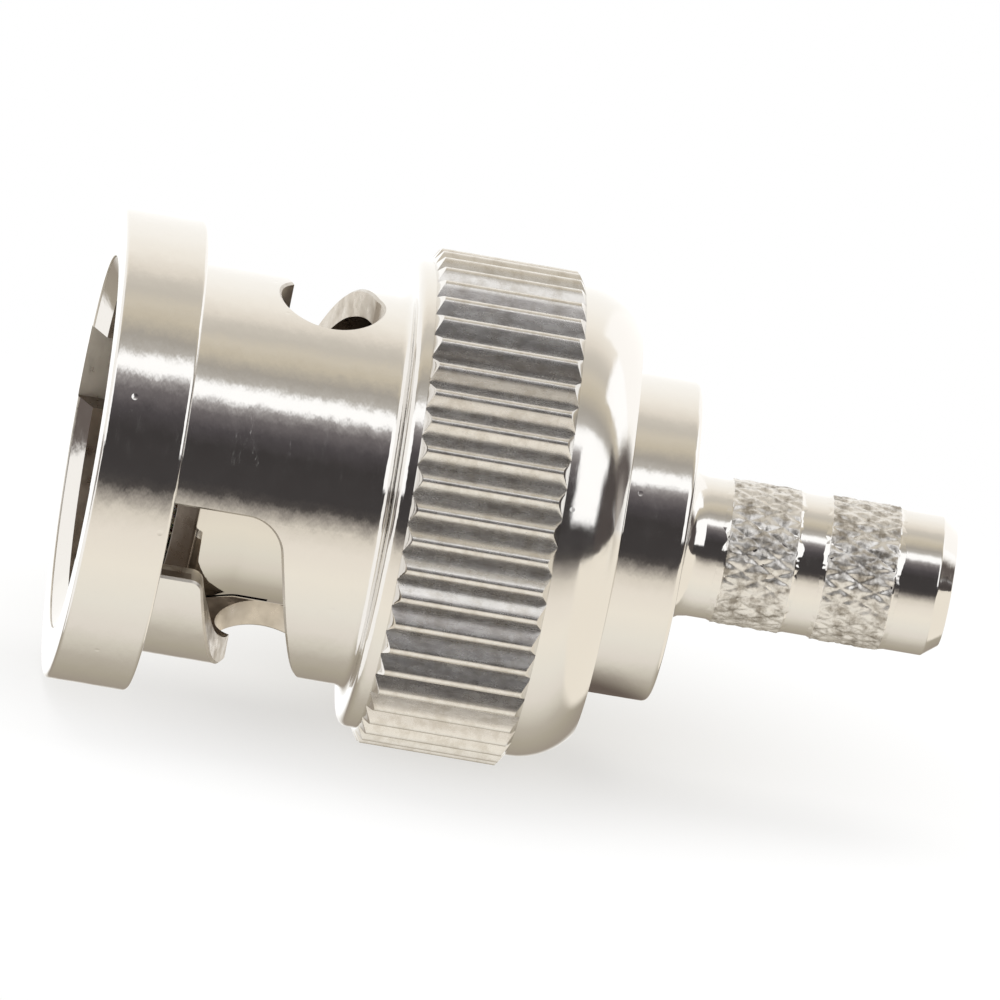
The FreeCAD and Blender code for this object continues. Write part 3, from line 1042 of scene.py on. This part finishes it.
# What the metal sees round the axis, by the angle above the camera's side: the room, a strip lamp, grey and
# tan screens, a soft lamp above, and under the plug the paper with the plug's own shadow on it.
SURROUNDINGS = (
    (-180, "f4f4f4"),
    (-175, "d8d5cf"),
    (-166, "91887d"),
    (-141, "a49d8e"),
    (-124, "b2ab9f"),
    (-110, "cbc6ba"),
    (-98, "dad4cb"),
    (-80, "e1ddd3"),
    (-58, "e7e1d5"),
    (-40, "e2dbd0"),
    (-30, "d3ccc0"),
    (-22, "8d8780"),
    (-17, "4a4644"),
    (-12, "3d3a3a"),
    (10, "3a3737"),
    (20, "4a4648"),
    (30, "6c6768"),
    (35, "9a9695"),
    (39, "ffffff"),
    (46, "ffffff"),
    (50, "b3afa9"),
    (57, "a19c94"),
    (68, "c0b7a6"),
    (76, "c8c0b1"),
    (84, "c0bab0"),
    (91, "c7c1b7"),
    (99, "ddd6cb"),
    (112, "ece7de"),
    (128, "f2efe9"),
    (180, "f6f6f5"),
)

# Cards that stand before that ring, each over the ones above it. The first two numbers are a card's lower and
# upper bearing in degrees, the next two the sine of the angle towards the cable end, near edge to far edge.
CARDS = (
    (-180, 180, -1.0, -0.6, "f1efec"),
    (-180, -20, 0.6, 1.0, "e6dfd2"),
    (-20, 60, 0.82, 1.0, "4c4644"),
    (60, 150, 0.91, 1.0, "5c5552"),
    (112, 180, 0.3, 0.89, "faf8f5"),
    (1, 48, 0.2, 0.79, "ffffff"),
    (1, 48, -0.7, -0.25, "ffffff"),
    (74, 112, 0.54, 0.9, "ffffff"),
    (70, 180, 0.985, 1.0, "a39d98"),
)

# Half the width of a card's soft edge, in radians or in the sine
CARD_EDGE = 0.035

# A dark doorway ahead of the front end: how high it begins and ends, as the sine of the angle above the axis,
# then its near and far edge and its shade as for a card
DOORWAY = (-0.24, 0.03, -1.0, -0.9, "625a56")

# How bright the metal sees all that
ROOM_LIGHT = 1.28

# The share of the floor's paper that takes the plug's real shadow. The rest glows, greyer near the plug as a
# painted shadow, which keeps the shadow pale.
SHADOW_SHARE = 0.22

# The sides of a round card, and the radius of the floor's card under the lying plug and the standing one
CARD_SIDES = 96
LYING_CARD = 50 * MM
STANDING_CARD = 120 * MM

# How far the painted shadow, the greyer paper, reaches round the lying plug and the standing one
LYING_PAINTED_SHADOW_REACH = (20 * MM, 24 * MM, 24 * MM)
STANDING_PAINTED_SHADOW_REACH = (20 * MM, 20 * MM, 20 * MM)

# How far behind the axis the painted shadow, the grey of the lying plug's paper, is centred
PAINTED_SHADOW_SHIFT = 9 * MM

# The half widths of the dark card, a painted shadow that the rear body mirrors, along its own sides, how far
# its middle is behind the axis, and how far below the axis as a share of the rear body's diameter
WEDGE_REACH = (4.1 * MM, 3.0 * MM)
WEDGE_SHIFT = 1.5 * MM
WEDGE_DROP = 0.55

# The share of its radius over which the floor's card fades out, and the dark card of painted shadow
FLOOR_FADE = 0.6
WEDGE_FADE = 0.55

# The key lamp: its angle above the camera's side, its distance from the axis, the side of its square and its
# power
LAMP_BEARING = 100
LAMP_DISTANCE = 400 * MM
LAMP_SIDE = 300 * MM
LAMP_WATTS = 0.8

# Where the camera's line of sight would pass the axis, measured from the front face, if it weren't offset
CAMERA_AIM = 0.15 * MM


def fill_ramp(node, stops):
    """Give a colour ramp its stops, as (position, colour) pairs in rising order."""
    elements = node.color_ramp.elements
    elements.remove(elements[1])
    for index, (position, shade) in enumerate(stops):
        element = elements[0] if index == 0 else elements.new(position)
        element.position = position
        element.color = (*shade, 1)


def hold_card(tree, room, across, span, along, reach, shade):
    """Lay a plain card over the room's colour where both directions lie within the card's soft edges."""
    inside = []
    for source, (low, high) in ((across, span), (along, reach)):
        half = (high - low) / 2
        distance = reckon(tree, "ABSOLUTE", reckon(tree, "SUBTRACT", source, (low + high) / 2))
        inside.append(remapped(tree, distance, half + CARD_EDGE, half - CARD_EDGE, course="SMOOTHSTEP"))
    return mixed(tree, reckon(tree, "MULTIPLY", *inside), room, (*linear(shade), 1))


def studio_world():
    """White to the camera. Metal sees a dark room in front, a strip lamp over it, and white round it."""
    world = bpy.data.worlds.new("studio")
    bpy.context.scene.world = world
    world.use_nodes = True
    tree = world.node_tree
    tree.nodes.clear()
    place = add_node(tree, "ShaderNodeTexCoord")
    parts = add_node(tree, "ShaderNodeSeparateXYZ", {"Vector": place.outputs["Generated"]})
    along = parts.outputs["Z"]
    rise = reckon(tree, "MULTIPLY", parts.outputs["X"], -1.0)
    front = reckon(tree, "MULTIPLY", parts.outputs["Y"], -1.0)
    bearing = reckon(tree, "ARCTAN2", rise, front)
    share = remapped(tree, bearing, -math.pi, math.pi)
    ring = add_node(tree, "ShaderNodeValToRGB", {"Fac": share})
    fill_ramp(ring, [((degrees + 180) / 360, linear(shade)) for degrees, shade in SURROUNDINGS])
    room = ring.outputs["Color"]
    for low, high, near, far, shade in CARDS:
        span = (math.radians(low), math.radians(high))
        room = hold_card(tree, room, bearing, span, along, (near, far), shade)
    low, high, near, far, shade = DOORWAY
    room = hold_card(tree, room, rise, (low, high), along, (near, far), shade)
    seen = add_node(tree, "ShaderNodeBackground", {"Strength": ROOM_LIGHT, "Color": room})
    white = add_node(tree, "ShaderNodeBackground", {"Strength": 1.0, "Color": (1, 1, 1, 1)})
    mirrored = add_node(tree, "ShaderNodeLightPath").outputs["Is Glossy Ray"]
    choice = mixed_shader(tree, mirrored, white.outputs[0], seen.outputs[0])
    add_node(tree, "ShaderNodeOutputWorld", {"Surface": choice})


def stage_material(name):
    """An empty material for the stage."""
    material = bpy.data.materials.new(name)
    material.use_nodes = True
    material.node_tree.nodes.clear()
    return material, material.node_tree


def soft_edged(tree, shader, reach):
    """A card's shader, faded out over that share of its radius up to its edge, and the clear shader."""
    place = add_node(tree, "ShaderNodeTexCoord").outputs["Object"]
    spread = add_node(tree, "ShaderNodeTexGradient", {"gradient_type": "SPHERICAL", "Vector": place})
    edge = remapped(tree, spread.outputs["Fac"], 0.0, reach, course="SMOOTHSTEP")
    clear = add_node(tree, "ShaderNodeBsdfTransparent").outputs[0]
    return mixed_shader(tree, edge, clear, shader), clear


def one_sided_floor(name, shade, middle, reach):
    """Pale card that glows like lit paper, takes the plug's shadow, and shows only its upper side.

    The paper's glow is greyer near the plug, a painted shadow: middle and reach say where and how far.
    """
    material, tree = stage_material(name)
    side = add_node(tree, "ShaderNodeNewGeometry")
    place = side.outputs["Position"]
    for operation, by in (("SUBTRACT", middle), ("DIVIDE", reach)):
        place = add_node(tree, "ShaderNodeVectorMath", {"operation": operation, 0: place, 1: by}).outputs[0]
    # Painted shadow: the glow turns from white to the shade colour towards the middle
    near = add_node(tree, "ShaderNodeTexGradient", {"gradient_type": "QUADRATIC_SPHERE", "Vector": place})
    paper = mixed(tree, near.outputs["Fac"], (1, 1, 1, 1), (*linear(shade), 1))
    glow = add_node(tree, "ShaderNodeEmission", {"Color": paper}).outputs[0]
    matt = add_node(tree, "ShaderNodeBsdfDiffuse", {"Color": (*linear("f6f6f5"), 1)}).outputs[0]
    faded, clear = soft_edged(tree, mixed_shader(tree, SHADOW_SHARE, glow, matt), FLOOR_FADE)
    shown = mixed_shader(tree, side.outputs["Backfacing"], faded, clear)
    add_node(tree, "ShaderNodeOutputMaterial", {"Surface": shown})
    return material


def painted_shadow_paper():
    """Dark card with a soft edge, a painted shadow that the plate mirrors as a dark wedge."""
    material, tree = stage_material("painted_shadow_card")
    # Painted shadow: a dark glow where the rear body would mirror the floor's shade
    dark = add_node(tree, "ShaderNodeEmission", {"Color": (*linear("6a5f57"), 1)})
    faded, _ = soft_edged(tree, dark.outputs[0], WEDGE_FADE)
    add_node(tree, "ShaderNodeOutputMaterial", {"Surface": faded})
    return material


def facing(place, direction):
    """Where a card or a lamp stands: at the place, with its own Z along the direction."""
    return Matrix.Translation(place) @ direction.to_track_quat("Z", "Y").to_matrix().to_4x4()


def stage_card(name, centre, normal, sides, material):
    """A round card of unit size, stretched to its half widths, that keeps no light off the plug."""
    rim = [polar(1, turn, 0) for turn in even_turns(CARD_SIDES)]
    card = mesh_object(name, rim, [tuple(range(CARD_SIDES))], smooth=False)
    card.matrix_world = facing(centre, normal) @ Matrix.Diagonal((*sides, MM, 1))
    dress(card, material)
    card.visible_diffuse = False
    card.visible_shadow = False
    return card


def studio_camera(studio):
    """The photograph's camera: far off, a little towards the front end, rolled about its line of sight."""
    roll = studio.camera_roll
    yaw = studio.camera_yaw
    flat = AXIS * math.cos(yaw) + TOWARD_CAMERA * math.sin(yaw)
    back = TOWARD_CAMERA * math.cos(yaw) - AXIS * math.sin(yaw)
    right = flat * math.cos(roll) + UP * math.sin(roll)
    above = -flat * math.sin(roll) + UP * math.cos(roll)
    place = (
        AXIS * CAMERA_AIM
        + back * studio.camera_distance
        + right * studio.camera_right
        - above * studio.camera_down
    )
    camera = new_object("camera", bpy.data.cameras.new("camera"))
    turn = Matrix((right, above, back)).transposed().to_4x4()
    camera.matrix_world = Matrix.Translation(place) @ turn
    camera.data.sensor_width = 36
    camera.data.lens = studio.lens
    bpy.context.scene.camera = camera


def key_lamp():
    """A soft lamp above the plug, which lights the paper and the matt pieces, and isn't mirrored."""
    turn = math.radians(LAMP_BEARING)
    toward = TOWARD_CAMERA * math.cos(turn) + UP * math.sin(turn)
    lamp = new_object("key_lamp", bpy.data.lights.new("key_lamp", "AREA"))
    lamp.data.size = LAMP_SIDE
    lamp.data.energy = LAMP_WATTS
    lamp.matrix_world = facing(toward * LAMP_DISTANCE + AXIS * (cad_high.z / 2), toward)
    lamp.visible_glossy = False


class PLUG_OT_studio(Operator):
    """Set up the white studio, the floor and the photograph's camera"""

    bl_idname = "plug.studio"
    bl_label = "Studio"

    def execute(self, context):
        studio = context.scene.plug.studio
        studio_world()
        tilt = studio.floor_tilt
        lying = UP * math.cos(tilt) + TOWARD_CAMERA * math.sin(tilt)
        middle = AXIS * (cad_high.z / 2)
        under = middle - UP * studio.floor_drop
        behind = under - TOWARD_CAMERA * PAINTED_SHADOW_SHIFT
        # The grey of each paper is a painted shadow round the plug.
        paper = one_sided_floor("paper_with_painted_shadow_under_lying_plug", "c6c2bb", behind, LYING_PAINTED_SHADOW_REACH)
        card = stage_card("floor_under_lying_plug", under, lying, (LYING_CARD, LYING_CARD), paper)
        card.visible_glossy = False
        foot = Vector((0, 0, -CLEAR))
        paper = one_sided_floor("paper_with_painted_shadow_under_standing_plug", "d3d2cf", foot, STANDING_PAINTED_SHADOW_REACH)
        card = stage_card("floor_under_standing_plug", foot, AXIS, (STANDING_CARD, STANDING_CARD), paper)
        card.visible_glossy = False
        body = context.scene.plug.body
        # A dark card below the rear body, seen only in the metal: a painted shadow.
        near = Vector((WEDGE_DROP * body.body_diameter, WEDGE_SHIFT, body.body_start))
        card = stage_card("painted_shadow_card_under_rear_body", near, UP, WEDGE_REACH, painted_shadow_paper())
        card.visible_camera = False
        card.visible_transmission = False
        key_lamp()
        studio_camera(studio)
        context.scene.view_settings.view_transform = "Standard"
        return {"FINISHED"}


class PlugSettings(PropertyGroup):
    nut: PointerProperty(type=NutSizes)
    slot: PointerProperty(type=SlotSizes)
    body: PointerProperty(type=BodySizes)
    contact: PointerProperty(type=ContactSizes)
    washer: PointerProperty(type=WasherSizes)
    finish: PointerProperty(type=Finishes)
    studio: PointerProperty(type=StudioSettings)


class PLUG_PT_panel(Panel):
    bl_label = "Bayonet plug"
    bl_idname = "PLUG_PT_panel"
    bl_space_type = "VIEW_3D"
    bl_region_type = "UI"
    bl_category = "Plug"

    def draw(self, context):
        plug = context.scene.plug
        for operator in OPERATORS:
            self.layout.operator(operator.bl_idname)
        for group in (plug.nut, plug.slot, plug.body, plug.contact, plug.washer, plug.finish, plug.studio):
            box = self.layout.box()
            for name in group.bl_rna.properties.keys():
                if name not in ("rna_type", "name"):
                    box.prop(group, name)


OPERATORS = (
    PLUG_OT_coupling_nut,
    PLUG_OT_rear_body,
    PLUG_OT_contact_sleeve,
    PLUG_OT_wave_washer,
    PLUG_OT_inner_parts,
    PLUG_OT_studio,
)
CLASSES = (
    NutSizes,
    SlotSizes,
    BodySizes,
    ContactSizes,
    WasherSizes,
    Finishes,
    StudioSettings,
    PlugSettings,
    *OPERATORS,
    PLUG_PT_panel,
)


def register():
    for item in CLASSES:
        bpy.utils.register_class(item)
    bpy.types.Scene.plug = PointerProperty(type=PlugSettings)


def unregister():
    del bpy.types.Scene.plug
    for item in reversed(CLASSES):
        bpy.utils.unregister_class(item)


def main():
    register()
    bpy.ops.plug.coupling_nut()
    bpy.ops.plug.rear_body()
    bpy.ops.plug.contact_sleeve()
    bpy.ops.plug.wave_washer()
    bpy.ops.plug.inner_parts()
    bpy.ops.plug.studio()


if __name__ == "__main__":
    main()
